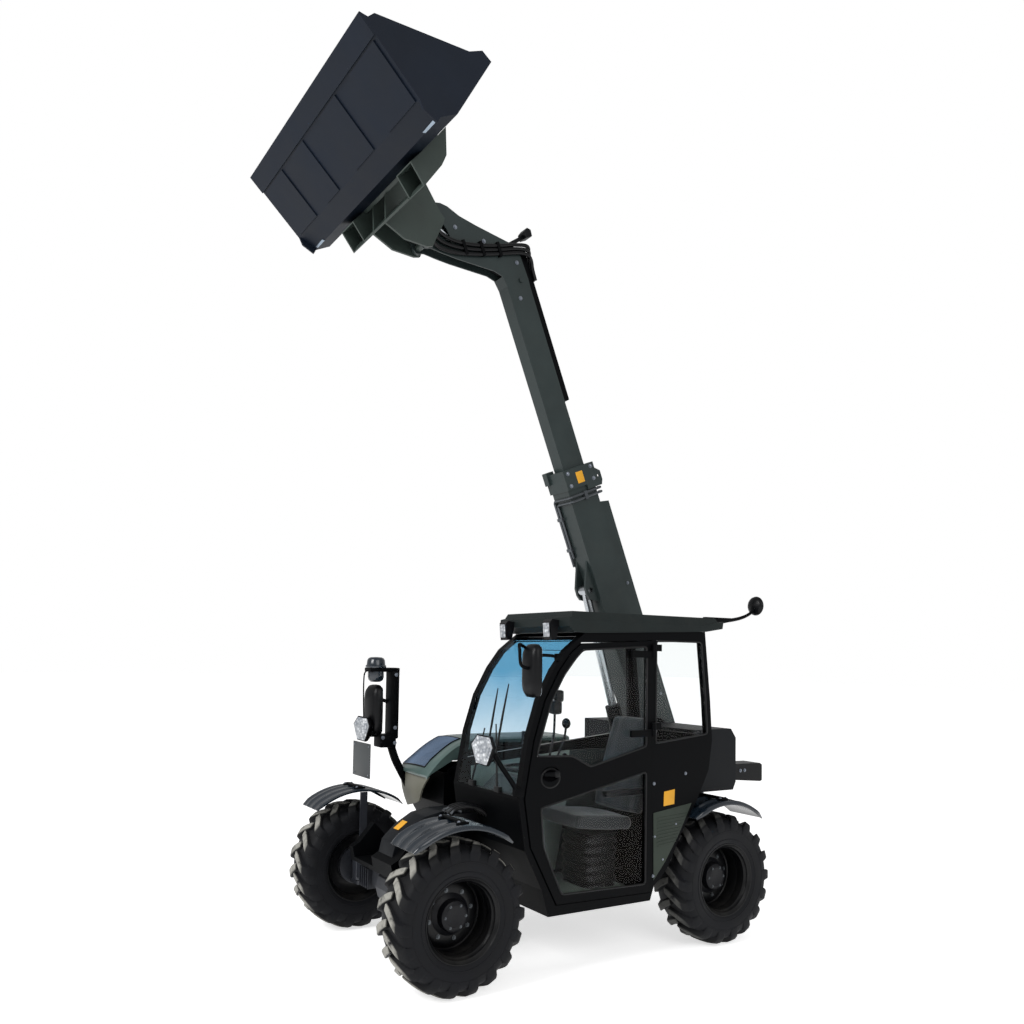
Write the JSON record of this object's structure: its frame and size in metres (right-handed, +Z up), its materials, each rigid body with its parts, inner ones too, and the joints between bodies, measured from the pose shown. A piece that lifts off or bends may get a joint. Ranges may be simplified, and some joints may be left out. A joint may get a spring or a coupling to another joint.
{
  "type": "compact telehandler",
  "caption": "Compact telehandler with a side cab, four steered lugged wheels, a raised two-stage boom and a wide bucket rolled back on a coupler.",
  "frame": {"origin": "middle of the bounding box, on the ground", "axes": "+X forward, +Y to the left of the driver, +Z up"},
  "size_m": [3.2227, 1.72, 4.9073],
  "materials": {
    "olive_paint": "satin",
    "black_paint": "satin",
    "slate_paint": "satin",
    "black_plastic": "matte",
    "grey_plastic": "matte",
    "cast": "rough",
    "steel_rod": "polished",
    "clear_glass": "clear",
    "tyre_rubber": "matte",
    "lamp_shell": "matte",
    "engine": "rough",
    "seat_fabric": "matte"
  },
  "bodies": {
    "chassis": {"chassis_frame": "black_paint", "front_axle": "cast", "rear_axle": "cast", "engine_block": "engine", "engine_bay": "black_paint", "rear_cowl": "olive_paint", "cab_frame": "black_paint", "cab_roof": "olive_paint", "cab_glass": "clear_glass", "windscreen": "clear_glass", "seat": "seat_fabric", "dashboard": "grey_plastic", "steering_wheel": "black_plastic", "front_lamps": "lamp_shell", "roof_lamps": "lamp_shell", "rear_lamps": "lamp_shell", "mirrors": "black_plastic", "fender_rear_left": "black_plastic", "fender_rear_right": "black_plastic"},
    "door": {"door_frame": "black_paint", "door_glass": "clear_glass"},
    "hood": {"engine_hood": "olive_paint"},
    "boom": {"boom_outer": "olive_paint", "boom_pipes": "steel_rod"},
    "boom_stage": {"boom_inner": "olive_paint"},
    "attachment": {"coupler": "olive_paint", "bucket": "slate_paint"},
    "lift_barrel_body": {"lift_barrel": "black_paint"},
    "lift_rod_body": {"lift_rod": "steel_rod"},
    "tilt_barrel_body": {"tilt_barrel": "black_paint"},
    "tilt_rod_body": {"tilt_rod": "steel_rod"},
    "steer_front_left": {"knuckle_front_left": "cast", "fender_front_left": "black_plastic"},
    "wheel_front_left": {"rim_front_left": "black_paint", "tyre_front_left": "tyre_rubber"},
    "steer_front_right": {"knuckle_front_right": "cast", "fender_front_right": "black_plastic"},
    "wheel_front_right": {"rim_front_right": "black_paint", "tyre_front_right": "tyre_rubber"},
    "steer_rear_left": {"knuckle_rear_left": "cast"},
    "wheel_rear_left": {"rim_rear_left": "black_paint", "tyre_rear_left": "tyre_rubber"},
    "steer_rear_right": {"knuckle_rear_right": "cast"},
    "wheel_rear_right": {"rim_rear_right": "black_paint", "tyre_rear_right": "tyre_rubber"}
  },
  "joints": [
    {"name": "steering_front_left", "type": "hinge", "parent": "chassis", "child": "steer_front_left", "pos_m": [0.865, 0.5, 0.395], "axis": [0, 0, 1], "range_deg": [-25, 25]},
    {"name": "spin_front_left", "type": "hinge", "parent": "steer_front_left", "child": "wheel_front_left", "pos_m": [0.865, 0.646, 0.395], "axis": [0, 1, 0], "continuous": true},
    {"name": "steering_front_right", "type": "hinge", "parent": "chassis", "child": "steer_front_right", "pos_m": [0.865, -0.5, 0.395], "axis": [0, 0, 1], "range_deg": [-25, 25]},
    {"name": "spin_front_right", "type": "hinge", "parent": "steer_front_right", "child": "wheel_front_right", "pos_m": [0.865, -0.646, 0.395], "axis": [0, 1, 0], "continuous": true},
    {"name": "steering_rear_left", "type": "hinge", "parent": "chassis", "child": "steer_rear_left", "pos_m": [-1.025, 0.5, 0.395], "axis": [0, 0, 1], "range_deg": [-25, 25]},
    {"name": "spin_rear_left", "type": "hinge", "parent": "steer_rear_left", "child": "wheel_rear_left", "pos_m": [-1.025, 0.646, 0.395], "axis": [0, 1, 0], "continuous": true},
    {"name": "steering_rear_right", "type": "hinge", "parent": "chassis", "child": "steer_rear_right", "pos_m": [-1.025, -0.5, 0.395], "axis": [0, 0, 1], "range_deg": [-25, 25]},
    {"name": "spin_rear_right", "type": "hinge", "parent": "steer_rear_right", "child": "wheel_rear_right", "pos_m": [-1.025, -0.646, 0.395], "axis": [0, 1, 0], "continuous": true},
    {"name": "door_swing", "type": "hinge", "parent": "chassis", "child": "door", "pos_m": [-0.44, 0.741, 1.1], "axis": [0, 0, 1], "range_deg": [0, 95]},
    {"name": "hood_lift", "type": "hinge", "parent": "chassis", "child": "hood", "pos_m": [-0.06, -0.2313, 1.183], "axis": [-1, 0, 0], "range_deg": [0, 70]},
    {"name": "boom_lift", "type": "hinge", "parent": "chassis", "child": "boom", "pos_m": [-1.153, -0.1, 1.25], "axis": [0, -1, 0], "range_deg": [-75.5, 0]},
    {"name": "boom_extend", "type": "slide", "parent": "boom", "child": "boom_stage", "axis": [0.3827, 0, 0.9239], "range_m": [-1, 0]},
    {"name": "bucket_tilt", "type": "hinge", "parent": "boom_stage", "child": "attachment", "pos_m": [0.73755, -0.1, 4.29858], "axis": [0, 1, 0], "range_deg": [-50, 75]},
    {"name": "lift_cylinder_swing", "type": "hinge", "parent": "chassis", "child": "lift_barrel_body", "pos_m": [-1.1, -0.1, 0.6], "axis": [0, -1, 0], "range_deg": [-54.12, 0.5]},
    {"name": "lift_cylinder_rod", "type": "slide", "parent": "lift_barrel_body", "child": "lift_rod_body", "axis": [0.3014, 0, 0.9535], "range_m": [-0.6169, 0.003]},
    {"name": "tilt_cylinder_swing", "type": "hinge", "parent": "boom_stage", "child": "tilt_barrel_body", "pos_m": [0.02077, -0.1, 4.22746], "axis": [0, 1, 0], "range_deg": [-2, 2.75]},
    {"name": "tilt_cylinder_rod", "type": "slide", "parent": "tilt_barrel_body", "child": "tilt_rod_body", "axis": [0.9442, 0, 0.3294], "range_m": [-0.1236, 0.1839]}
  ],
  "couplings": [
    {"joint": "steering_front_right", "follows": "steering_front_left", "ratio": 1},
    {"joint": "steering_rear_left", "follows": "steering_front_left", "ratio": -1},
    {"joint": "steering_rear_right", "follows": "steering_front_left", "ratio": -1},
    {"joint": "lift_cylinder_swing", "follows": "boom_lift", "ratio": 0.7101},
    {"joint": "lift_cylinder_rod", "follows": "boom_lift", "m_per_rad": 0.4659},
    {"joint": "tilt_cylinder_swing", "follows": "bucket_tilt", "ratio": 0.03},
    {"joint": "tilt_cylinder_rod", "follows": "bucket_tilt", "m_per_rad": 0.1382}
  ]
}
